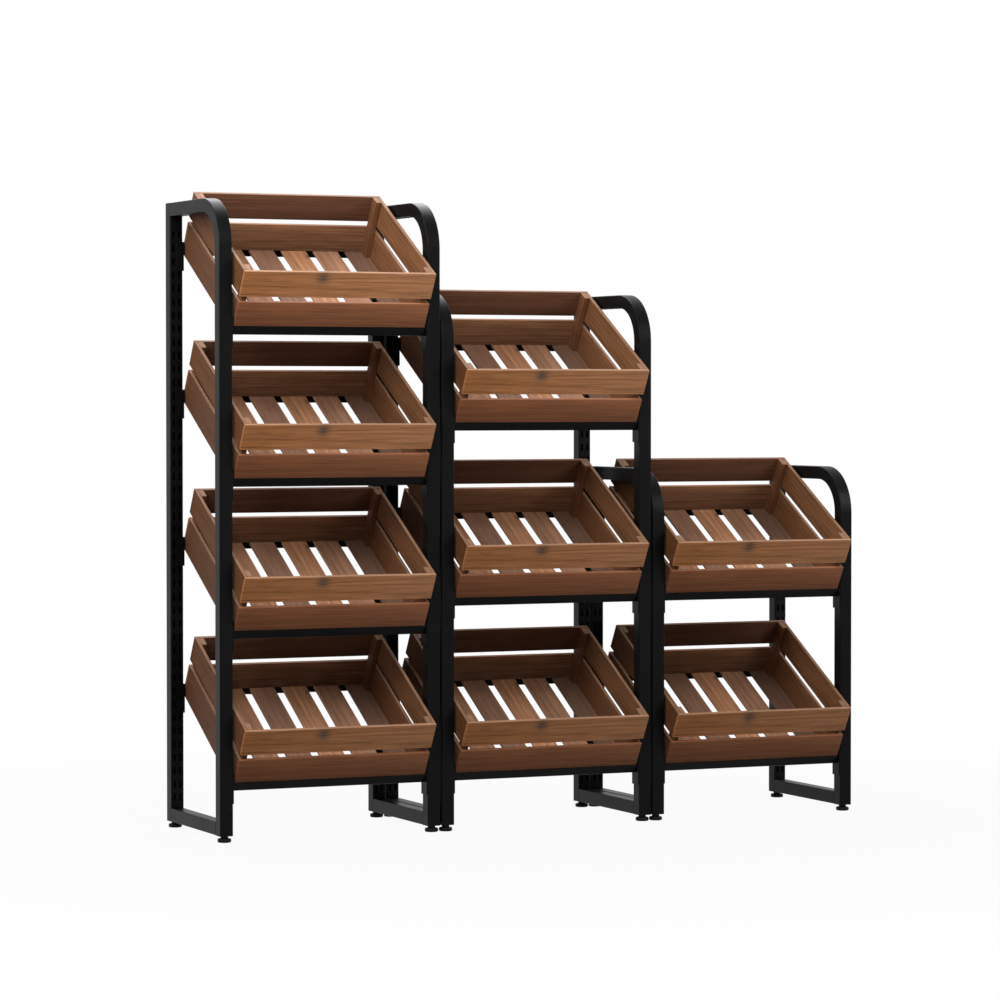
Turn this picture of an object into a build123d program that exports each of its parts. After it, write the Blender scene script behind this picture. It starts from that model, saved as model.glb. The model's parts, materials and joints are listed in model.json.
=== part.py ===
from build123d import *

import os
from math import cos, radians, sin

# Produce display shelf: three free-standing stands in a falling row, of four, three and two tiers.
# Each stand has two side frames of square steel tube on levelling feet.
# Angle bars hook into the slotted uprights and cradle slatted wooden crates that tip towards the shopper.
# Millimetres. +X runs along the row, -Y is the front, +Z is up.
# The origin is under the middle of the row, on the floor.

# Crates
crate_width = 478.0
crate_length = 400.0
tilt = 30.0
board_thickness = 8.0
upper_board = 66.0
board_gap = 14.0
lower_board = 83.0  # side boards, which run down past the floor as runners
floor_rise = 7.0  # underside of the floor slats above the runners' lower edge
slat_thickness = 6.0
slat_count = 6
slat_gap = 20.0
post_width = 13.0
post_length = 28.0
nailed_gap = 0.2  # between nailed boards

# Stands, built round the crates
stand_gap = 4.5  # between neighbouring stands
crate_clearance = 3.5  # each side, between a crate and the end plates of its bars
crate_setback = 15.0  # crate's lower front edge behind the front uprights' faces
crate_back_gap = 10.6  # crate's lower back edge ahead of the rear posts' back faces
tall_tiers = 4
middle_tiers = 3
low_tiers = 2
tall_tier_slots = 11  # slots from one tier up to the next
wide_tier_slots = 13
tall_headroom = 316.5  # frame's top above the lower front edge of its top crate
middle_headroom = 327.5
low_headroom = 320.5

# Square tube of the side frames
tube = 32.0
tube_wall = 1.5
tube_corner = 1.5  # flat across each outside corner of the section
bend_radius = 115.0  # outside of the bend at the front top corner
cap_thickness = 2.0  # welded cap on the rear post

# Slots in the uprights
slot_pitch = 32.0
slot_height = 17.0
slot_width = 5.0
slot_inset = 8.75  # column of slots from the upright's inner face
first_slot = 49.5  # lower edge of the lowest slot above the frame's bottom
lowest_hook_row = 1  # row of slots, counted from 0, that the lowest front bar hangs in
slot_margin = 5.0  # least steel between the top slot and the top rail

# Levelling feet
foot_pad_height = 9.0
foot_pad_diameter = 32.0
foot_pad_sides = 16
foot_neck_height = 6.0
foot_neck_diameter = 18.0
stem_sides = 8  # of the neck and the stem
stem_diameter = 8.0
stem_length = 36.0  # above the frame's bottom
stem_clearance = 0.05  # all round, in the insert
insert_height = 16.0
insert_clearance = 0.1  # all round, inside the tube

# Cross bars: an angle between two hooked end plates
bar_steel = 2.0
bar_bend = 2.0  # flat across the outside of the bend
front_lip = 21.0  # above the crate's lower edge
front_ledge = 20.0  # under the crate, back from its front
rear_lip = 26.0
rear_ledge = 12.0
seat_gap = 0.1  # under the crate
lip_gap = 0.3  # between a lip and the crate
weld_gap = 0.1  # between an angle and its end plates
plate_steel = 2.5
plate_height = 69.0
plate_edge = 4.75  # of the flange past the column of slots that it covers
cheek_edge = 1.0  # of a cheek past its angle
front_plate_tail = 7.0  # below the lower hook's seat
rear_plate_tail = 13.0
hook_drop = 24.0  # lower front hook's seat below the crate's lower edge
hook_side_gap = 0.5  # each side, in the slot
hook_entry = 3.0  # spare height as the hook goes into its slot
hook_tongue = 5.0  # behind the slotted wall, below the slot
hook_steel = 2.0
hook_gap = 0.2  # behind the slotted wall

# Values worked out from the sizes above
lean = radians(tilt)
crate_height = lower_board + board_gap + upper_board
floor_top = floor_rise + slat_thickness
runner_inside = crate_width - 2 * board_thickness
slat_pitch = (crate_width + slat_gap) / slat_count
slat_width = slat_pitch - slat_gap
outer_slat_width = slat_width - board_thickness - nailed_gap  # ripped to fit beside a runner
plate_x = crate_width / 2 + crate_clearance
inside_x = plate_x + plate_steel
upright_x = inside_x + tube / 2
stand_width = 2 * (inside_x + tube)
stand_depth = crate_setback + crate_length * cos(lean) + crate_back_gap
row_width = 3 * stand_width + 2 * stand_gap
crate_overhang = crate_height * sin(lean) - crate_setback
front_y = (crate_overhang - stand_depth) / 2
rear_y = front_y + stand_depth
slotted_y = rear_y - tube
foot_height = foot_pad_height + foot_neck_height
tube_bore = tube - 2 * tube_wall
hook_x = inside_x + slot_inset
hook_width = slot_width - 2 * hook_side_gap
hook_neck = slot_height - hook_tongue - hook_entry
plate_overlap = slot_inset + slot_width / 2 + plate_edge
rear_hook_rows = round(crate_length * sin(lean) / slot_pitch)

stands = (
    ("tall_stand", tall_tiers, tall_tier_slots, tall_headroom),
    ("middle_stand", middle_tiers, wide_tier_slots, middle_headroom),
    ("low_stand", low_tiers, wide_tier_slots, low_headroom),
)


def stand_x(index):
    """Middle of a stand along the row."""
    return (stand_width - row_width) / 2 + index * (stand_width + stand_gap)


def slot_z(row):
    """Lower edge of a row of slots above the floor."""
    return foot_height + first_slot + row * slot_pitch


def hook_row(tier, tier_slots):
    """Row of slots that the lower hooks of a tier's front bar hang in."""
    return lowest_hook_row + tier * tier_slots


def crate_z(tier, tier_slots):
    """Height of a crate's lower front edge."""
    return slot_z(hook_row(tier, tier_slots)) + hook_drop


def crate_plane(index, tier, tier_slots):
    """Plane of a crate's underside: x across, y up the slope to the back, z square to the floor slats."""
    corner = (stand_x(index), front_y + crate_setback, crate_z(tier, tier_slots))
    return Plane(origin=corner, x_dir=(1, 0, 0), z_dir=(0, -sin(lean), cos(lean)))


os.makedirs("parts", exist_ok=True)

# Section of the square tube, closed and hollow
with BuildSketch() as tube_outline:
    Rectangle(tube, tube)
    chamfer(tube_outline.vertices(), length=tube_corner)
with BuildSketch() as tube_section:
    add(tube_outline.sketch)
    Rectangle(tube_bore, tube_bore, mode=Mode.SUBTRACT)


def front_tube(name, x, slot_x, hook_rows, top_z):
    """Front upright and top rail: one tube, bent at the front top corner, slotted behind for its bars."""
    with BuildPart() as bent:
        with BuildLine(Plane.YZ.offset(x)) as route:
            foot_end = (front_y + tube / 2, foot_height)
            corner = (front_y + tube / 2, top_z - tube / 2)
            rear_end = (slotted_y, top_z - tube / 2)
            FilletPolyline(foot_end, corner, rear_end, radius=bend_radius - tube / 2)
        with BuildSketch(Plane.XY.offset(foot_height)):
            with Locations((x, front_y + tube / 2)):
                add(tube_section.sketch)
        sweep(path=route.line)
        wall_y = front_y + tube - tube_wall / 2
        with Locations(*[(slot_x, wall_y, slot_z(row) + slot_height / 2) for row in hook_rows]):
            Box(slot_width, 2 * tube_wall, slot_height, mode=Mode.SUBTRACT)
    bent.part.label = name
    export_step(bent.part, f"parts/{name}.step")


def rear_post(name, x, slot_x, height):
    """Upright with a column of slots up its front face and a cap on its top."""
    tube_length = height - cap_thickness
    top_slot = height - tube - slot_margin - slot_height
    rows = int((top_slot - first_slot) // slot_pitch) + 1
    with BuildPart() as post:
        with BuildSketch(Plane.XY.offset(foot_height)):
            with Locations((x, rear_y - tube / 2)):
                add(tube_section.sketch)
        extrude(amount=tube_length)
        with BuildSketch(Plane.XY.offset(foot_height + tube_length)):
            with Locations((x, rear_y - tube / 2)):
                add(tube_outline.sketch)
        extrude(amount=cap_thickness)
        wall_y = slotted_y + tube_wall / 2
        with Locations(*[(slot_x, wall_y, slot_z(row) + slot_height / 2) for row in range(rows)]):
            Box(slot_width, 2 * tube_wall, slot_height, mode=Mode.SUBTRACT)
    post.part.label = name
    export_step(post.part, f"parts/{name}.step")


def bottom_rail(name, x):
    """Tube between the lower ends of the two uprights."""
    with BuildPart() as rail:
        with BuildSketch(Plane.XZ.offset(-(front_y + tube))):
            with Locations((x, foot_height + tube / 2)):
                add(tube_section.sketch)
        extrude(amount=-(stand_depth - 2 * tube))
    rail.part.label = name
    export_step(rail.part, f"parts/{name}.step")


def levelling_foot(name, x, y):
    """Pad, neck and stem that screws into the upright's end."""
    lengths = (
        (0, foot_pad_height, foot_pad_diameter, foot_pad_sides),
        (foot_pad_height, foot_neck_height, foot_neck_diameter, stem_sides),
        (foot_height, stem_length, stem_diameter, stem_sides),
    )
    with BuildPart() as foot:
        for base, length, diameter, sides in lengths:
            with BuildSketch(Plane.XY.offset(base)):
                with Locations((x, y)):
                    RegularPolygon(diameter / 2, sides)
            extrude(amount=length)
    foot.part.label = name
    export_step(foot.part, f"parts/{name}.step")


def foot_inserts(places):
    """Threaded plugs in the lower ends of the uprights."""
    plug = tube_bore - 2 * insert_clearance
    with BuildPart() as inserts:
        with BuildSketch(Plane.XY.offset(foot_height)):
            with Locations(*places):
                Rectangle(plug, plug)
                RegularPolygon(stem_diameter / 2 + stem_clearance, stem_sides, mode=Mode.SUBTRACT)
        extrude(amount=insert_height)
    inserts.part.label = "foot_inserts"
    export_step(inserts.part, "parts/foot_inserts.step")


def angle_outline(corner, toward, lip, ledge):
    """L section round a crate's lower edge. corner is the lip's inner face, toward points along the ledge."""
    under = -seat_gap
    return (
        (corner + toward * (bar_bend - bar_steel), under - bar_steel),
        (corner + toward * ledge, under - bar_steel),
        (corner + toward * ledge, under),
        (corner, under),
        (corner, lip),
        (corner - toward * bar_steel, lip),
        (corner - toward * bar_steel, under - bar_steel + bar_bend),
    )


def cross_bar(name, plane, outline, face_y, into, lower_hook, tail):
    """Angle and its two end plates. into points from the plates through the slotted face, front or back."""
    middle_x = plane.origin.X
    up_slope = [y * cos(lean) - z * sin(lean) for y, z in outline]
    if into < 0:
        cheek_end = plane.origin.Y + min(up_slope) - cheek_edge
    else:
        cheek_end = plane.origin.Y + max(up_slope) + cheek_edge
    plate_z = slot_z(lower_hook) - tail + plate_height / 2
    with BuildPart() as bar:
        with BuildSketch(Plane(origin=plane.origin, x_dir=plane.y_dir, z_dir=(1, 0, 0))):
            with BuildLine():
                Polyline(*outline, close=True)
            make_face()
        extrude(amount=plate_x - weld_gap, both=True)
        for hand in (-1, 1):
            # Flange on the slotted face and cheek along the upright's inner face
            flange_x = middle_x + hand * (inside_x + (plate_overlap - plate_steel) / 2)
            with Locations((flange_x, face_y - into * plate_steel / 2, plate_z)):
                Box(plate_overlap + plate_steel, plate_steel, plate_height)
            with Locations((middle_x + hand * (inside_x - plate_steel / 2), (face_y + cheek_end) / 2, plate_z)):
                Box(plate_steel, abs(cheek_end - face_y), plate_height)
            # Two hooks, through the wall and down behind it
            neck_reach = tube_wall + hook_gap + hook_steel
            tongue_y = face_y + into * (neck_reach - hook_steel / 2)
            for row in (lower_hook, lower_hook + 1):
                slot_place = middle_x + hand * hook_x
                with Locations((slot_place, face_y + into * neck_reach / 2, slot_z(row) + hook_neck / 2)):
                    Box(hook_width, neck_reach, hook_neck)
                with Locations((slot_place, tongue_y, slot_z(row) - hook_tongue / 2)):
                    Box(hook_width, hook_steel, hook_tongue)
    bar.part.label = name
    export_step(bar.part, f"parts/{name}.step")


def crate(name, plane):
    """Slatted box: notched runners, front and back boards, side boards, corner posts and floor slats."""
    half_length = crate_length / 2
    runner_x = (crate_width - board_thickness) / 2
    notch = board_thickness + nailed_gap
    upper_middle = crate_height - upper_board / 2
    cross_base = floor_top + nailed_gap
    cross_height = lower_board - cross_base
    post_height = crate_height - cross_base
    post_spread = runner_inside - 2 * nailed_gap - post_width
    post_span = crate_length - 2 * notch - post_length
    outer_spread = runner_inside - 2 * nailed_gap - outer_slat_width
    with BuildPart(plane) as box:
        # Runners: lower side boards, notched at both ends under the front and back boards
        for hand in (-1, 1):
            side_plane = Plane(origin=plane.origin, x_dir=plane.y_dir, z_dir=plane.x_dir)
            with BuildSketch(side_plane.offset(hand * runner_x)):
                with BuildLine():
                    Polyline(
                        (0, 0),
                        (crate_length, 0),
                        (crate_length, floor_top),
                        (crate_length - notch, floor_top),
                        (crate_length - notch, lower_board),
                        (notch, lower_board),
                        (notch, floor_top),
                        (0, floor_top),
                        close=True,
                    )
                make_face()
            extrude(amount=board_thickness / 2, both=True)
        # Upper side boards
        with Locations((0, half_length, upper_middle)):
            with GridLocations(2 * runner_x, 1, 2, 1):
                Box(board_thickness, crate_length - 2 * notch, upper_board)
        # Front and back boards, lower and upper
        with Locations((0, half_length, cross_base + cross_height / 2)):
            with GridLocations(1, crate_length - board_thickness, 1, 2):
                Box(crate_width, board_thickness, cross_height)
        with Locations((0, half_length, upper_middle)):
            with GridLocations(1, crate_length - board_thickness, 1, 2):
                Box(crate_width, board_thickness, upper_board)
        # Corner posts, flush with the upper boards
        with Locations((0, half_length, cross_base + post_height / 2)):
            with GridLocations(post_spread, post_span, 2, 2):
                Box(post_width, post_length, post_height)
        # Floor slats, front to back under the front and back boards
        with Locations((0, half_length, floor_rise + slat_thickness / 2)):
            with GridLocations(slat_pitch, 1, slat_count - 2, 1):
                Box(slat_width, crate_length, slat_thickness)
            with GridLocations(outer_spread, 1, 2, 1):
                Box(outer_slat_width, crate_length, slat_thickness)
    box.part.label = name
    export_step(box.part, f"parts/{name}.step")


foot_places = []
for index, (stand, tiers, tier_slots, headroom) in enumerate(stands):
    top_z = crate_z(tiers - 1, tier_slots) + headroom
    lower_hooks = [hook_row(tier, tier_slots) for tier in range(tiers)]
    front_hooks = [row + step for row in lower_hooks for step in (0, 1)]

    # Side frames and their feet
    for side, hand in (("left", -1), ("right", 1)):
        frame = f"{stand}_{side}"
        frame_x = stand_x(index) + hand * upright_x
        slot_x = stand_x(index) + hand * hook_x
        front_tube(f"{frame}_front_tube", frame_x, slot_x, front_hooks, top_z)
        rear_post(f"{frame}_rear_post", frame_x, slot_x, top_z - foot_height)
        bottom_rail(f"{frame}_bottom_rail", frame_x)
        for end, end_y in (("front", front_y + tube / 2), ("rear", rear_y - tube / 2)):
            levelling_foot(f"{frame}_{end}_foot", frame_x, end_y)
            foot_places.append((frame_x, end_y))

    # Crates and the two bars that cradle each
    for tier, lower_hook in enumerate(lower_hooks):
        plane = crate_plane(index, tier, tier_slots)
        cross_bar(f"{stand}_front_bar_{tier + 1}", plane, angle_outline(-lip_gap, 1, front_lip, front_ledge),
                  front_y + tube, -1, lower_hook, front_plate_tail)
        cross_bar(f"{stand}_rear_bar_{tier + 1}", plane,
                  angle_outline(crate_length + lip_gap, -1, rear_lip, rear_ledge),
                  slotted_y, 1, lower_hook + rear_hook_rows, rear_plate_tail)
        crate(f"{stand}_crate_{tier + 1}", plane)
foot_inserts(foot_places)
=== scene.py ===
import json
from math import atan2, cos, inf, pi, radians

import bmesh
import bpy
from mathutils import Matrix, Vector


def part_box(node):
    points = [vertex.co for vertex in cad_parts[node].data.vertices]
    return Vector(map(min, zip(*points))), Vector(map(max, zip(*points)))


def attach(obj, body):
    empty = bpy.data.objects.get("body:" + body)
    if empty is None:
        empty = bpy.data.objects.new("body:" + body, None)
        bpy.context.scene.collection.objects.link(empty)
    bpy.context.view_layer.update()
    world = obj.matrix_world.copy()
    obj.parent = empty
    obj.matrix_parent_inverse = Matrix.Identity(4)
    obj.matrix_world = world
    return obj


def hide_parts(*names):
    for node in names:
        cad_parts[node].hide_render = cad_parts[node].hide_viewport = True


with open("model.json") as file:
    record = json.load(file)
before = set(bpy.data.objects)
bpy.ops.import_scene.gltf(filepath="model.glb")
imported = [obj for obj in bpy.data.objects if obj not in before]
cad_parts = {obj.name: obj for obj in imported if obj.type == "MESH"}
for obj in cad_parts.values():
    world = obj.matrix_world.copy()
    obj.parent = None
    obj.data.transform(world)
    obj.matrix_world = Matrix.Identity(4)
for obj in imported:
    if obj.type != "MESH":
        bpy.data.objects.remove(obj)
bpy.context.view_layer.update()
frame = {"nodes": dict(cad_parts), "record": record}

# Produce display shelf: black powder-coated stands that carry stained wooden crates.
# Metres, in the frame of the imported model. Places come from the model, fine sizes are named here.

nodes = frame["nodes"]

# Crate boards, measured in the crate's own axes
crate_length = 0.400
board_thickness = 0.008
upper_board = 0.066
board_gap = 0.014
lower_board = 0.083
floor_rise = 0.007
slat_thickness = 0.006
slat_gap = 0.020
post_width = 0.013
post_length = 0.028
nailed_gap = 0.0002
board_round = 0.0010

# A crate's own axes: across, up the slope, and square to the slats
across_axis = 0
slope_axis = 1
upright_axis = 2

# Square tube and its slots
tube_round = 0.0022
tube_wall = 0.0015
bend_radius = 0.115
slot_pitch = 0.032
slot_height = 0.017
slot_width = 0.005
slot_inset = 0.00875  # from the tube's side to the middle of the slot
first_slot = 0.0495  # from the tube's lower end
slot_margin = 0.005  # between the last slot and the top rail
hook_drop = 0.024  # from a crate's lowest point down to the lower slot of its front bar
cap_thickness = 0.002
cap_round = 0.0008

# Bars and feet
bar_round = 0.0003
foot_height = 0.015
foot_pad_height = 0.009
foot_pad_round = 0.0018
foot_neck_diameter = 0.018
stem_diameter = 0.008

# Fineness and tolerances of the meshes
corner_steps = 4
edge_steps = 2
bend_steps = 20
foot_steps = 48
same_point = 1e-6
same_plane = 1e-5
cut_margin = 1e-7
square_on = 0.99  # a normal this close to an axis is square to it
upwards = 0.8  # a normal that rises this much belongs to an upper edge
flat_angle = radians(1)
hard_angle = radians(30)
sharp_angle = radians(50)

# Steel finishes. Scales and stretches are in cycles per metre, roughness goes from low to high.
powder_shade = (0.0012, 0.0012, 0.0014)
powder_gloss = 0.07
powder_roughness = (0.32, 0.44)
foot_shade = (0.0035, 0.0035, 0.0036)
foot_gloss = 0.08
foot_roughness = (0.30, 0.42)
cloud_scale = 14
cloud_lift = 1.6  # lightest part of the cloudy sheen against the darkest
peel_scale = 700
peel_strength = 0.12
peel_depth = 0.0003

# Plastic of the threaded inserts
plastic_shade = (0.012, 0.012, 0.012)
plastic_roughness = (0.55, 0.75)
moulded_scale = 1200
moulded_strength = 0.15
moulded_depth = 0.0002

# Wood: the honey, russet and ashen tones of the boards and of their pale upper edges;
# their paleness is partly the edges' own tone and partly painted light from above
board_tones = ((0.245, 0.0985, 0.0345), (0.165, 0.0585, 0.0265), (0.30, 0.20, 0.15))
edge_tones = ((0.26, 0.135, 0.073), (0.22, 0.116, 0.074), (0.32, 0.22, 0.17))
wood_gloss = 0.12
wood_roughness = (0.50, 0.72)
relief_strength = 0.25
relief_depth = 0.0004

# Figure of the wood: each layer's stretch along and across the grain, and its share in the lightness
ring_stretch = (1.3, 26, 26)
ring_wander = 0.4
ring_turns = 46.0
ring_share = 0.07
band_stretch = (1.6, 110, 110)
band_share = 0.75
streak_stretch = (6, 260, 260)
streak_share = 1.35
fibre_stretch = (20, 700, 700)
fibre_share = 0.9
pore_stretch = (60, 1400, 1400)
pore_level = 0.66
pore_share = -0.08
russet_contrast = 0.65  # figure of a russet board against that of a honey one
grain_start = 1.0
grain_shift = 0.037  # sets the figure of one board apart from the next

# Knots: their colour, their places, and their reach along the grain and along the two axes across it
knot_shade = (0.060, 0.042, 0.033)
knot_cover = 0.9
knot_fade = 0.37  # what is left of a knot at its reach
knot_bend = 0.004  # how far the fibres swerve at a knot
no_knot = (9, 9, 9)  # that many reaches from the nearest knot
front_knot = (-0.043, 0.015)  # across from the middle, below the upper edge
front_knot_reach = (0.016, 0.015, 0.05)
knotty_slat = 3
slat_knot = (0.058, 0.366)  # from the slat's left side, from its front
slat_knot_reach = (0.008, 0.05, 0.006)

# Studio floor and ambient light
floor_radius = 30
floor_steps = 96
floor_shade = (0.20, 0.20, 0.20)
floor_roughness = 0.9
near_white = 0.95  # share of plain white in the floor close to the object
fade_start = 0.9
fade_end = 2.4
ambient_light = 0.01

# Softboxes: place, target, width and watts
shelf_middle = (0, 0, 0.8)
softboxes = {
    "overhead_softbox": ((0, 1.4, 3.2), shelf_middle, 2.4, 112),
    "top_left_softbox": ((-1.5, -0.2, 2.5), (-0.3, 0, 0.9), 0.9, 22),
    "left_softbox": ((-3.4, 0.0, 1.9), shelf_middle, 1.6, 20),
    "left_front_softbox": ((-2.8, -1.8, 2.4), shelf_middle, 1.6, 74),
    "front_softbox": ((-1.2, -2.8, 2.5), shelf_middle, 1.8, 76),
    "right_front_softbox": ((2.6, -2.4, 2.2), shelf_middle, 1.6, 66),
    "right_rear_softbox": ((3.0, 1.7, 0.9), shelf_middle, 1.6, 36),
}

# Camera, fitted to the photograph's frame, with its lens and sensor in millimetres
camera_place = (-3.79486, -8.24412, 1.02556)
camera_yaw = radians(24.3898)
camera_dip = radians(1.5486)
camera_lens = 134.3153
camera_sensor = 36


# Materials

def node_tree(name):
    """New material with its node tree and its shader."""
    material = bpy.data.materials.new(name)
    material.use_nodes = True
    tree = material.node_tree
    return material, tree, tree.nodes["Principled BSDF"]


def object_place(tree):
    """Place on the object, in metres."""
    return tree.nodes.new("ShaderNodeTexCoord").outputs["Object"]


def board_attribute(tree, name):
    """Vector that the boards carry under a name."""
    attribute = tree.nodes.new("ShaderNodeAttribute")
    attribute.attribute_name = name
    return attribute.outputs["Vector"]


def split(tree, vector):
    """The three parts of a vector."""
    parts = tree.nodes.new("ShaderNodeSeparateXYZ")
    tree.links.new(vector, parts.inputs["Vector"])
    return parts.outputs["X"], parts.outputs["Y"], parts.outputs["Z"]


def noise(tree, source, stretch, detail=2.0, distortion=0.0):
    """Noise stretched along the axes of its source."""
    mapping = tree.nodes.new("ShaderNodeMapping")
    mapping.inputs["Scale"].default_value = stretch
    texture = tree.nodes.new("ShaderNodeTexNoise")
    texture.inputs["Scale"].default_value = 1.0
    texture.inputs["Detail"].default_value = detail
    texture.inputs["Distortion"].default_value = distortion
    tree.links.new(source, mapping.inputs["Vector"])
    tree.links.new(mapping.outputs["Vector"], texture.inputs["Vector"])
    return texture.outputs["Fac"]


def number(tree, operation, first, second=0.0, third=0.0):
    """One step of arithmetic on sockets or plain numbers."""
    step = tree.nodes.new("ShaderNodeMath")
    step.operation = operation
    for socket, value in zip(step.inputs, (first, second, third)):
        if isinstance(value, bpy.types.NodeSocket):
            tree.links.new(value, socket)
        else:
            socket.default_value = value
    return step.outputs["Value"]


def spread(tree, value, low, high):
    """Value from 0..1 laid out between low and high."""
    return number(tree, "MULTIPLY_ADD", value, high - low, low)


def shaded(tree, colour, strength):
    """Colour made lighter or darker by a number."""
    scale = tree.nodes.new("ShaderNodeVectorMath")
    scale.operation = "SCALE"
    tree.links.new(colour, scale.inputs[0])
    tree.links.new(strength, scale.inputs["Scale"])
    return scale.outputs["Vector"]


def blended(tree, share, first, second):
    """Colour between two, given as sockets or plain colours."""
    mix = tree.nodes.new("ShaderNodeMix")
    mix.data_type = "RGBA"
    tree.links.new(share, mix.inputs["Factor"])
    for socket, colour in (("A", first), ("B", second)):
        if isinstance(colour, bpy.types.NodeSocket):
            tree.links.new(colour, mix.inputs[socket])
        else:
            mix.inputs[socket].default_value = (*colour, 1.0)
    return mix.outputs["Result"]


def bumped(tree, shader, height, strength, depth):
    """Fine relief on the shader's normal."""
    bump = tree.nodes.new("ShaderNodeBump")
    bump.inputs["Strength"].default_value = strength
    bump.inputs["Distance"].default_value = depth
    tree.links.new(height, bump.inputs["Height"])
    tree.links.new(bump.outputs["Normal"], shader.inputs["Normal"])


def coated_steel(name, shade, gloss, roughness):
    """Black finish with a faint orange peel and slightly uneven sheen."""
    material, tree, shader = node_tree(name)
    place = object_place(tree)
    peel = noise(tree, place, (peel_scale, peel_scale, peel_scale))
    cloud = noise(tree, place, (cloud_scale, cloud_scale, cloud_scale), detail=3.0)
    tint = blended(tree, cloud, shade, [cloud_lift * part for part in shade])
    tree.links.new(tint, shader.inputs["Base Color"])
    tree.links.new(spread(tree, cloud, *roughness), shader.inputs["Roughness"])
    shader.inputs["Specular IOR Level"].default_value = gloss
    bumped(tree, shader, peel, peel_strength, peel_depth)
    return material


def stained_wood(name, tones, contrast, depth):
    """Stained softwood. Its figure, stain, painted shade and knots follow the attributes of each board."""
    material, tree, shader = node_tree(name)
    honey, russet, ashen = tones
    along, across, through = split(tree, board_attribute(tree, "grain"))
    redness, lightness, greyness = split(tree, board_attribute(tree, "stain_and_shade"))

    # A knot sits where a board's knot coordinates are zero, and the fibres part round it
    centre = board_attribute(tree, "knot")
    away = tree.nodes.new("ShaderNodeVectorMath")
    away.operation = "DOT_PRODUCT"
    tree.links.new(centre, away.inputs[0])
    tree.links.new(centre, away.inputs[1])
    knot = number(tree, "POWER", knot_fade, away.outputs["Value"])
    bent = tree.nodes.new("ShaderNodeCombineXYZ")
    tree.links.new(along, bent.inputs["X"])
    tree.links.new(number(tree, "MULTIPLY_ADD", knot, knot_bend, across), bent.inputs["Y"])
    tree.links.new(through, bent.inputs["Z"])
    lines = bent.outputs["Vector"]

    # Year rings, long bands, streaks, fibres and pores
    ring_field = noise(tree, lines, ring_stretch, distortion=ring_wander)
    rings = number(tree, "SINE", number(tree, "MULTIPLY", ring_field, ring_turns))
    bands = noise(tree, lines, band_stretch)
    streaks = noise(tree, lines, streak_stretch, detail=3.0)
    fibres = noise(tree, lines, fibre_stretch)
    pores = number(tree, "GREATER_THAN", noise(tree, lines, pore_stretch), pore_level)
    figure = number(tree, "MULTIPLY_ADD", rings, ring_share, 1.0)
    for layer, share in ((bands, band_share), (streaks, streak_share), (fibres, fibre_share)):
        figure = number(tree, "MULTIPLY_ADD", number(tree, "SUBTRACT", layer, 0.5), share, figure)
    figure = number(tree, "MULTIPLY_ADD", pores, pore_share, figure)

    # The figure is weaker on russet boards, and the stain with its painted shade sets how light each part of
    # the board is
    strength = spread(tree, redness, contrast, russet_contrast * contrast)
    light = number(tree, "MULTIPLY_ADD", number(tree, "SUBTRACT", figure, 1.0), strength, 1.0)
    light = number(tree, "MULTIPLY", light, number(tree, "POWER", lightness, depth))
    colour = blended(tree, redness, honey, russet)
    colour = blended(tree, greyness, colour, ashen)
    colour = blended(tree, number(tree, "MULTIPLY", knot, knot_cover), colour, knot_shade)
    tree.links.new(shaded(tree, colour, light), shader.inputs["Base Color"])
    tree.links.new(spread(tree, fibres, *wood_roughness), shader.inputs["Roughness"])
    shader.inputs["Specular IOR Level"].default_value = wood_gloss
    bumped(tree, shader, figure, relief_strength, relief_depth)
    return material


def moulded_plastic(name):
    """Matt black plastic with a fine moulded grain."""
    material, tree, shader = node_tree(name)
    texture = noise(tree, object_place(tree), (moulded_scale, moulded_scale, moulded_scale))
    shader.inputs["Base Color"].default_value = (*plastic_shade, 1.0)
    tree.links.new(spread(tree, texture, *plastic_roughness), shader.inputs["Roughness"])
    bumped(tree, shader, texture, moulded_strength, moulded_depth)
    return material


# Mesh helpers

def of_kind(elements, kind):
    """Elements of one kind from an operator's result."""
    return [element for element in elements if isinstance(element, kind)]


def eased(bm, edges, width):
    """Rounds some edges."""
    bmesh.ops.bevel(bm, geom=edges, offset=width, affect="EDGES", segments=edge_steps, profile=0.5,
                    material=-1)


def finished_mesh(name, bm):
    """Mesh of a finished bmesh, smooth across every edge that isn't sharp."""
    for face in bm.faces:
        face.smooth = True
    for edge in bm.edges:
        edge.smooth = edge.calc_face_angle(0.0) < sharp_angle
    mesh = bpy.data.meshes.new(name)
    bm.to_mesh(mesh)
    bm.free()
    return mesh


def poured_in(bm, part):
    """Adds a finished part to a larger bmesh."""
    mesh = bpy.data.meshes.new("part")
    part.to_mesh(mesh)
    part.free()
    bm.from_mesh(mesh)
    bpy.data.meshes.remove(mesh)


def new_piece(name, mesh, materials, body, node):
    """Named piece that rides on a body and stands for its CAD node."""
    for material in materials:
        mesh.materials.append(material)
    piece = bpy.data.objects.new(name, mesh)
    bpy.context.scene.collection.objects.link(piece)
    weighting = piece.modifiers.new("even_normals", "WEIGHTED_NORMAL")
    weighting.keep_sharp = True
    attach(piece, body)
    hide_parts(node)
    return piece


def coated_piece(name, bm, steel):
    """Powder-coated piece of the stands."""
    new_piece(f"{name}_coated", finished_mesh(name, bm), (steel,), "stands", name)


# Steel pieces

def tube_loop(bm, size, place):
    """Outline of the square tube with rounded corners."""
    corners = bmesh.ops.create_grid(bm, x_segments=1, y_segments=1, size=size / 2, matrix=place)["verts"]
    bmesh.ops.bevel(bm, geom=corners, offset=tube_round, affect="VERTICES", segments=corner_steps,
                    profile=0.5, material=-1)
    outline = list(bm.edges)
    bmesh.ops.delete(bm, geom=list(bm.faces), context="FACES_ONLY")
    return outline


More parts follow.
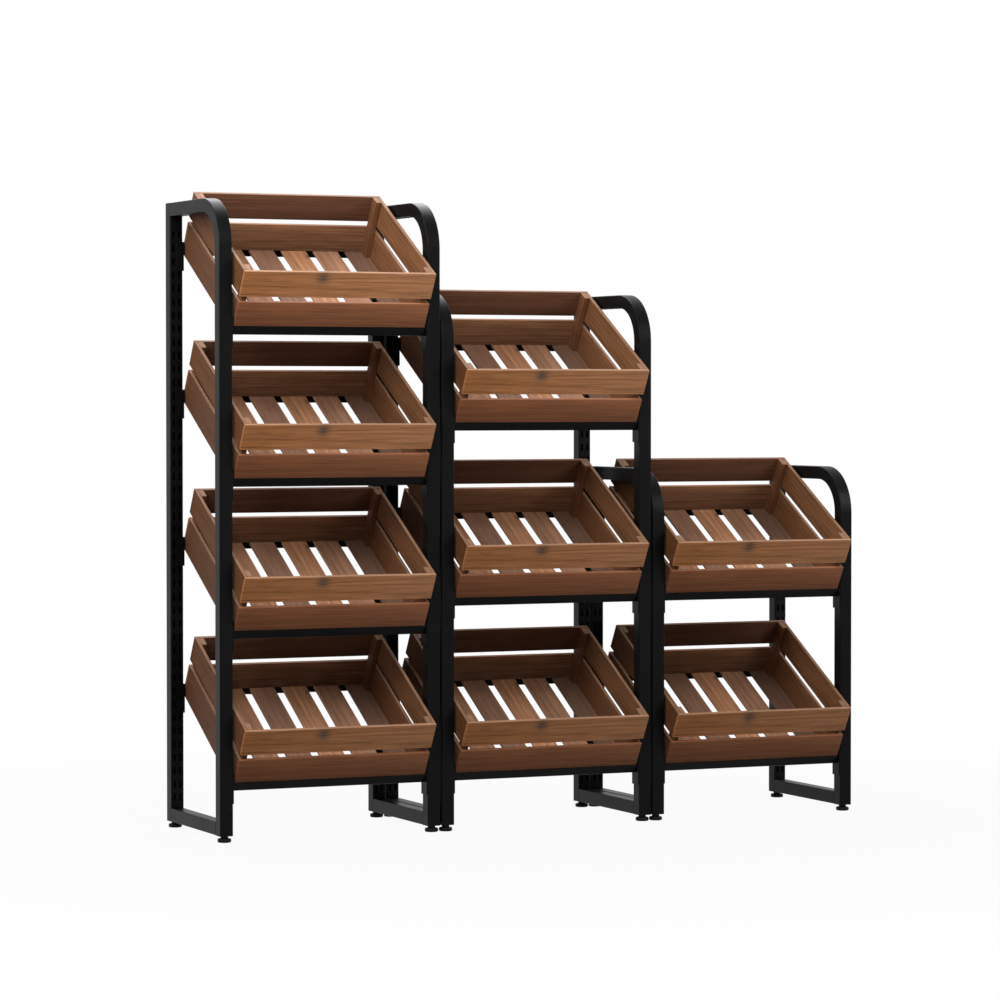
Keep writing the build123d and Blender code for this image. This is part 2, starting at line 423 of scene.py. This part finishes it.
def drawn_out(bm, loop, step):
    """Tube wall from a loop of edges along a step. Gives back the loop at its far end."""
    made = bmesh.ops.extrude_edge_only(bm, edges=loop)["geom"]
    bmesh.ops.translate(bm, verts=of_kind(made, bmesh.types.BMVert), vec=step)
    return [edge for edge in of_kind(made, bmesh.types.BMEdge) if edge.is_boundary]


def cut(bm, faces, point, normal):
    """Splits some faces along a plane."""
    edges = dict.fromkeys(edge for face in faces for edge in face.edges)
    verts = dict.fromkeys(vert for face in faces for vert in face.verts)
    bmesh.ops.bisect_plane(bm, geom=[*verts, *edges, *faces], plane_co=point, plane_no=normal,
                           dist=cut_margin)


def open_slots(bm, wall_y, columns, bottoms):
    """Opens columns of slots in the flat upright wall at wall_y."""
    def wall_faces(low_x, high_x):
        found = []
        for face in bm.faces:
            middle = face.calc_center_median()
            in_wall = abs(middle.y - wall_y) < same_plane and abs(face.normal.y) > square_on
            if in_wall and low_x < middle.x < high_x:
                found.append(face)
        return found

    for column in columns:
        left = column - slot_width / 2
        right = column + slot_width / 2
        for side in (left, right):
            cut(bm, wall_faces(-inf, inf), (side, 0, 0), (1, 0, 0))
        for bottom in bottoms:
            for level in (bottom, bottom + slot_height):
                cut(bm, wall_faces(left, right), (0, 0, level), (0, 0, 1))
        openings = []
        for face in wall_faces(left, right):
            level = face.calc_center_median().z
            if any(bottom < level < bottom + slot_height for bottom in bottoms):
                openings.append(face)
        bmesh.ops.delete(bm, geom=openings, context="FACES")


def walled(bm):
    """Tube with its wall, inwards from the skin."""
    bmesh.ops.recalc_face_normals(bm, faces=bm.faces)
    skin = bpy.data.objects.new("skin", finished_mesh("skin", bm))
    bpy.context.scene.collection.objects.link(skin)
    wall = skin.modifiers.new("wall", "SOLIDIFY")
    wall.thickness = tube_wall
    wall.offset = -1
    wall.use_even_offset = True
    solid = bpy.data.meshes.new_from_object(skin.evaluated_get(bpy.context.evaluated_depsgraph_get()))
    bpy.data.meshes.remove(skin.data)  # takes the skin's object with it
    walls = bmesh.new()
    walls.from_mesh(solid)
    bpy.data.meshes.remove(solid)
    return walls


def hook_bottoms(stand):
    """Lower edges of the slots that the stand's front bars hang in."""
    found = []
    for name in nodes:
        if name.startswith(f"{stand}_crate_"):
            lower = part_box(name)[0].z - hook_drop
            found += [lower, lower + slot_pitch]
    return sorted(found)


def front_tube(name, steel):
    """Front upright, bend and top rail in one tube, slotted behind for the bars."""
    low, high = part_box(name)
    size = high.x - low.x
    middle = (low.x + high.x) / 2
    stand, side = name.removesuffix("_front_tube").rsplit("_", 1)
    column = high.x - slot_inset if side == "left" else low.x + slot_inset
    bm = bmesh.new()
    loop = tube_loop(bm, size, Matrix.Translation((middle, low.y + size / 2, low.z)))
    loop = drawn_out(bm, loop, (0, 0, high.z - bend_radius - low.z))
    bm.normal_update()
    open_slots(bm, low.y + size, (column,), hook_bottoms(stand))
    ends = list(dict.fromkeys(vert for edge in loop for vert in edge.verts))
    turned = bmesh.ops.spin(bm, geom=ends + loop, cent=(middle, low.y + bend_radius, high.z - bend_radius),
                            axis=(-1, 0, 0), angle=pi / 2, steps=bend_steps)["geom_last"]
    drawn_out(bm, of_kind(turned, bmesh.types.BMEdge), (0, high.y - low.y - bend_radius, 0))
    coated_piece(name, walled(bm), steel)


def welded_cap(bm, size, place):
    """Plate on the open top of a tube, its upper edge rounded."""
    plate = bmesh.new()
    outline = tube_loop(plate, size, place)
    top = drawn_out(plate, outline, (0, 0, cap_thickness))
    bmesh.ops.contextual_create(plate, geom=outline)
    bmesh.ops.contextual_create(plate, geom=top)
    bmesh.ops.recalc_face_normals(plate, faces=plate.faces)
    eased(plate, top, cap_round)
    poured_in(bm, plate)


def rear_post(name, steel):
    """Capped upright with two columns of slots up its front face."""
    low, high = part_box(name)
    size = high.x - low.x
    rise = high.z - cap_thickness - low.z
    bm = bmesh.new()
    place = Matrix.Translation(((low.x + high.x) / 2, high.y - size / 2, low.z))
    drawn_out(bm, tube_loop(bm, size, place), (0, 0, rise))
    bm.normal_update()
    top_slot = high.z - size - slot_margin - slot_height
    bottoms = []
    while low.z + first_slot + len(bottoms) * slot_pitch <= top_slot:
        bottoms.append(low.z + first_slot + len(bottoms) * slot_pitch)
    open_slots(bm, low.y, (low.x + slot_inset, high.x - slot_inset), bottoms)
    bm = walled(bm)
    welded_cap(bm, size, Matrix.Translation((0, 0, rise)) @ place)
    coated_piece(name, bm, steel)


def bottom_rail(name, steel):
    """Tube between the lower ends of the two uprights."""
    low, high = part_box(name)
    size = high.x - low.x
    bm = bmesh.new()
    middle = ((low.x + high.x) / 2, low.y, (low.z + high.z) / 2)
    loop = tube_loop(bm, size, Matrix.Translation(middle) @ Matrix.Rotation(pi / 2, 4, "X"))
    drawn_out(bm, loop, (0, high.y - low.y, 0))
    coated_piece(name, walled(bm), steel)


def cross_bar(name, steel):
    """Angle bar with its hooked end plates: the model's solid with its edges eased."""
    plain = nodes[name].data.copy()
    for attribute in list(plain.attributes):
        if attribute.name == "custom_normal":
            plain.attributes.remove(attribute)
    bm = bmesh.new()
    bm.from_mesh(plain)
    bpy.data.meshes.remove(plain)
    bmesh.ops.remove_doubles(bm, verts=bm.verts, dist=same_point)
    bmesh.ops.dissolve_limit(bm, angle_limit=flat_angle, verts=bm.verts, edges=bm.edges)
    edges = [edge for edge in bm.edges if edge.calc_face_angle(0.0) > hard_angle]
    bmesh.ops.bevel(bm, geom=edges, offset=bar_round, affect="EDGES", segments=edge_steps, profile=0.5,
                    material=-1, clamp_overlap=True)
    coated_piece(name, bm, steel)


def levelling_foot(name, steel):
    """Turned foot: a pad with rounded edges, a neck and a stem."""
    low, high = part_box(name)
    middle = (low + high) / 2
    pad = (high.x - low.x) / 2
    neck = foot_neck_diameter / 2
    stem = stem_diameter / 2
    soft = foot_pad_round
    outline = (
        (0, low.z),
        (pad - soft, low.z),
        (pad, low.z + soft),
        (pad, low.z + foot_pad_height - soft),
        (pad - soft, low.z + foot_pad_height),
        (neck, low.z + foot_pad_height),
        (neck, low.z + foot_height),
        (stem, low.z + foot_height),
        (stem, high.z),
        (0, high.z),
    )
    bm = bmesh.new()
    points = [bm.verts.new((middle.x + radius, middle.y, level)) for radius, level in outline]
    edges = [bm.edges.new(pair) for pair in zip(points, points[1:])]
    bmesh.ops.spin(bm, geom=points + edges, cent=middle, axis=(0, 0, 1), angle=2 * pi, steps=foot_steps,
                   use_merge=True)
    bmesh.ops.remove_doubles(bm, verts=bm.verts, dist=same_point)
    bmesh.ops.recalc_face_normals(bm, faces=bm.faces)
    new_piece(f"{name}_turned", finished_mesh(name, bm), (steel,), name, name)


# Crates

def even(russet, light, ashen, shade_fall=0.0):
    """Stain that is the same from end to end of a board, with an optional painted shade that darkens it
    towards its lower edge.
    """
    return (russet, light, ashen), (russet, light, ashen), shade_fall


# Stains of the boards: russet share, lightness and ashen share at each end, then a painted shade: the fall in
# lightness from the upper edge to the lower one (on the front lower board partly the board's own tone)
front_upper = ((0.0, 1.07, 0.0), (0.0, 1.24, 0.18), 0.0)
front_lower = ((0.85, 0.76, 0.0), (0.80, 0.98, 0.06), 0.55)
back_upper = even(0.9, 0.49, 0.15, 0.62)
back_lower = even(0.0, 0.60, 0.24, 0.62)
left_side = even(0.35, 0.40, 0.0)
right_side = even(0.0, 0.50, 0.08)
left_runner = even(0.60, 0.38, 0.06)
right_runner = even(0.30, 0.56, 0.08)
corner_posts = even(0.4, 0.55, 0.06)
slats = (
    even(0.2, 0.86, 0.3),
    even(0.1, 0.98, 0.3),
    even(0.8, 0.82, 0.36),
    even(0.0, 1.26, 0.25),
    even(0.2, 1.10, 0.38),
    # Painted shade: the last slat, beside the right corner posts, is made darker for their shade
    even(0.8, 0.55, 0.45),
)


def finish_board(bm, part, low, high, along, stain_and_shade, knot, lit_pale_top):
    """Rounds a board, lays its grain, stain and painted shade on it, and adds it to the crate."""
    eased(part, list(part.edges), board_round)
    grain = part.verts.layers.float_vector.new("grain")
    tone = part.verts.layers.float_vector.new("stain_and_shade")
    centre = part.verts.layers.float_vector.new("knot")
    order = (along, *[axis for axis in (upright_axis, slope_axis, across_axis) if axis != along])
    start = low - Vector((1, 1, 1)) * (grain_start + grain_shift * len(bm.faces))
    near, far, shade_fall = stain_and_shade
    size = high - low
    for vert in part.verts:
        vert[grain] = [(vert.co - start)[axis] for axis in order]
        place = vert.co - low
        russet, light, ashen = Vector(near).lerp(Vector(far), place[along] / size[along])
        # Painted shade: the board is made darker towards its lower edge by its shade fall
        light *= 1 + shade_fall * (place.z / size.z - 0.5)
        vert[tone] = (russet, light, ashen)
        if knot:
            vert[centre] = [(vert.co - knot[0])[axis] / reach for axis, reach in zip(order, knot[1])]
        else:
            vert[centre] = no_knot
    part.normal_update()
    # Painted light: faces that look up take the paler edge wood, partly their own tone and partly light from
    # above
    if lit_pale_top:
        for face in part.faces:
            if face.normal.z > upwards:
                face.material_index = 1
    poured_in(bm, part)


def nailed_board(bm, low, high, along, stain_and_shade, knot=None, lit_pale_top=False):
    """Board whose grain runs along an axis. A knot is given by its place and its reach."""
    low = Vector(low)
    high = Vector(high)
    part = bmesh.new()
    place = Matrix.Translation((low + high) / 2) @ Matrix.Diagonal((*(high - low), 1))
    bmesh.ops.create_cube(part, size=1, matrix=place)
    finish_board(bm, part, low, high, along, stain_and_shade, knot, lit_pale_top)


def notched_runner(bm, low, high, notch, step, stain_and_shade):
    """Lower side board, notched at both ends under the front and back boards."""
    part = bmesh.new()
    outline = (
        (low[1], low[2]),
        (high[1], low[2]),
        (high[1], step),
        (high[1] - notch, step),
        (high[1] - notch, high[2]),
        (low[1] + notch, high[2]),
        (low[1] + notch, step),
        (low[1], step),
    )
    face = part.faces.new([part.verts.new((low[0], *point)) for point in outline])
    made = bmesh.ops.extrude_face_region(part, geom=[face])["geom"]
    bmesh.ops.translate(part, verts=of_kind(made, bmesh.types.BMVert), vec=(high[0] - low[0], 0, 0))
    bmesh.ops.recalc_face_normals(part, faces=part.faces)
    finish_board(bm, part, Vector(low), Vector(high), slope_axis, stain_and_shade, None, True)


def crate_mesh(width):
    """All the boards of one crate, in the crate's own axes."""
    bm = bmesh.new()
    half = width / 2
    inside = half - board_thickness
    notch = board_thickness + nailed_gap
    floor_top = floor_rise + slat_thickness
    cross_base = floor_top + nailed_gap
    upper_base = lower_board + board_gap
    height = upper_base + upper_board

    # Runner, upper side board and two corner posts on either hand
    for hand, runner, side in ((-1, left_runner, left_side), (1, right_runner, right_side)):
        near, far = sorted((hand * inside, hand * half))
        notched_runner(bm, (near, 0, 0), (far, crate_length, lower_board), notch, floor_top, runner)
        nailed_board(bm, (near, notch, upper_base), (far, crate_length - notch, height), slope_axis, side,
                     lit_pale_top=True)
        post_face = inside - nailed_gap
        near, far = sorted((hand * post_face, hand * (post_face - post_width)))
        for start in (notch, crate_length - notch - post_length):
            nailed_board(bm, (near, start, cross_base), (far, start + post_length, height), upright_axis,
                         corner_posts, lit_pale_top=True)

    # Front and back boards
    back = crate_length - board_thickness
    knot = (Vector((front_knot[0], 0, height - front_knot[1])), front_knot_reach)
    cross_boards = (
        (0, cross_base, lower_board, front_lower, None, False),
        (0, upper_base, height, front_upper, knot, True),
        (back, cross_base, lower_board, back_lower, None, False),
        (back, upper_base, height, back_upper, None, True),
    )
    for start, base, top, stain_and_shade, knot, lit_pale_top in cross_boards:
        nailed_board(bm, (-half, start, base), (half, start + board_thickness, top), across_axis, stain_and_shade, knot,
                     lit_pale_top)

    # Floor slats on an even pitch, the outer two ripped to fit between the runners
    slat_pitch = (width + slat_gap) / len(slats)
    for index, stain_and_shade in enumerate(slats):
        left = index * slat_pitch - half
        right = min(left + slat_pitch - slat_gap, inside - nailed_gap)
        left = max(left, nailed_gap - inside)
        knot = None
        if index == knotty_slat:
            knot = (Vector((left + slat_knot[0], slat_knot[1], floor_top)), slat_knot_reach)
        nailed_board(bm, (left, 0, floor_rise), (right, crate_length, floor_top), slope_axis, stain_and_shade, knot)
    return finished_mesh("crate_boards", bm)


def crate(name, boards, materials):
    """One crate of boards, tipped and set down where the model has it."""
    low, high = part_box(name)
    lift = next(joint for joint in frame["record"]["behaviour"]["joints"] if joint["child"] == name)
    axis = lift["axis"]
    lean = atan2(-axis[1], axis[2])
    origin = ((low.x + high.x) / 2, high.y - crate_length * cos(lean), low.z)
    mesh = boards.copy()
    mesh.name = name
    mesh.transform(Matrix.Translation(origin) @ Matrix.Rotation(lean, 4, "X"))
    new_piece(f"{name}_boards", mesh, materials, name, name)


# Studio

def seen_rays(tree):
    """1 for rays that look at the background: from the camera, a reflection or clear glass."""
    path = tree.nodes.new("ShaderNodeLightPath")
    seen = number(tree, "MAXIMUM", path.outputs["Is Camera Ray"], path.outputs["Is Glossy Ray"])
    return number(tree, "MAXIMUM", seen, path.outputs["Is Transmission Ray"])


def studio_floor():
    """Pale floor that keeps the shadow close to the object and fades to white away from it."""
    bm = bmesh.new()
    bmesh.ops.create_circle(bm, cap_ends=True, segments=floor_steps, radius=floor_radius)
    mesh = bpy.data.meshes.new("floor")
    bm.to_mesh(mesh)
    bm.free()
    floor = bpy.data.objects.new("floor", mesh)
    bpy.context.scene.collection.objects.link(floor)
    material, tree, shader = node_tree("pale_floor")
    shader.inputs["Base Color"].default_value = (*floor_shade, 1)
    shader.inputs["Roughness"].default_value = floor_roughness
    shader.inputs["Specular IOR Level"].default_value = 0.0
    away = tree.nodes.new("ShaderNodeVectorMath")
    away.operation = "LENGTH"
    tree.links.new(object_place(tree), away.inputs[0])
    fade = tree.nodes.new("ShaderNodeMapRange")
    fade.interpolation_type = "SMOOTHSTEP"
    fade.inputs["From Min"].default_value = fade_start
    fade.inputs["From Max"].default_value = fade_end
    fade.inputs["To Min"].default_value = near_white
    tree.links.new(away.outputs["Value"], fade.inputs["Value"])
    white = tree.nodes.new("ShaderNodeEmission")
    shown = tree.nodes.new("ShaderNodeMixShader")
    tree.links.new(number(tree, "MULTIPLY", fade.outputs["Result"], seen_rays(tree)), shown.inputs["Fac"])
    tree.links.new(shader.outputs["BSDF"], shown.inputs[1])
    tree.links.new(white.outputs["Emission"], shown.inputs[2])
    tree.links.new(shown.outputs["Shader"], tree.nodes["Material Output"].inputs["Surface"])
    mesh.materials.append(material)


def studio_world():
    """White background with a faint ambient light."""
    world = bpy.data.worlds.new("studio")
    bpy.context.scene.world = world
    world.use_nodes = True
    tree = world.node_tree
    background = tree.nodes["Background"]
    background.inputs["Color"].default_value = (1, 1, 1, 1)
    tree.links.new(spread(tree, seen_rays(tree), ambient_light, 1.0), background.inputs["Strength"])


def softbox(name, place, target, width, watts):
    """Large soft lamp aimed at a point."""
    lamp = bpy.data.lights.new(name, "AREA")
    lamp.size = width
    lamp.energy = watts
    light = bpy.data.objects.new(name, lamp)
    light.location = place
    light.rotation_euler = (Vector(target) - Vector(place)).to_track_quat("-Z", "Y").to_euler()
    bpy.context.scene.collection.objects.link(light)


def photograph_camera():
    """Camera at the photograph's viewing angle."""
    camera = bpy.data.cameras.new("camera")
    camera.sensor_width = camera_sensor
    camera.lens = camera_lens
    viewer = bpy.data.objects.new("camera", camera)
    viewer.location = camera_place
    viewer.rotation_euler = (pi / 2 - camera_dip, 0, -camera_yaw)
    bpy.context.scene.collection.objects.link(viewer)
    bpy.context.scene.camera = viewer


# Build

powder_coat = coated_steel("powder_coat", powder_shade, powder_gloss, powder_roughness)
foot_steel = coated_steel("foot_steel", foot_shade, foot_gloss, foot_roughness)
insert_plastic = moulded_plastic("insert_plastic")
board_wood = stained_wood("stained_boards", board_tones, contrast=1.0, depth=1.0)
# Paler wood for the up-facing edges: partly their own tone, partly painted light from above
edge_wood = stained_wood("lit_pale_edges", edge_tones, contrast=0.5, depth=0.4)

crate_names = [name for name in nodes if "_crate_" in name]
crate_low, crate_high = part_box(crate_names[0])
boards = crate_mesh(crate_high.x - crate_low.x)
for name in crate_names:
    crate(name, boards, (board_wood, edge_wood))
bpy.data.meshes.remove(boards)

builders = {
    "front_tube": (front_tube, powder_coat),
    "rear_post": (rear_post, powder_coat),
    "bottom_rail": (bottom_rail, powder_coat),
    "bar": (cross_bar, powder_coat),
    "foot": (levelling_foot, foot_steel),
}
for name in list(nodes):
    kind = name.rstrip("0123456789_")
    for ending, (build, material) in builders.items():
        if kind.endswith(ending):
            build(name, material)
inserts = nodes["foot_inserts"]
inserts.data.materials.clear()
inserts.data.materials.append(insert_plastic)

photograph_camera()
studio_floor()
studio_world()
for name, setting in softboxes.items():
    softbox(name, *setting)
bpy.context.scene.view_settings.view_transform = "Standard"
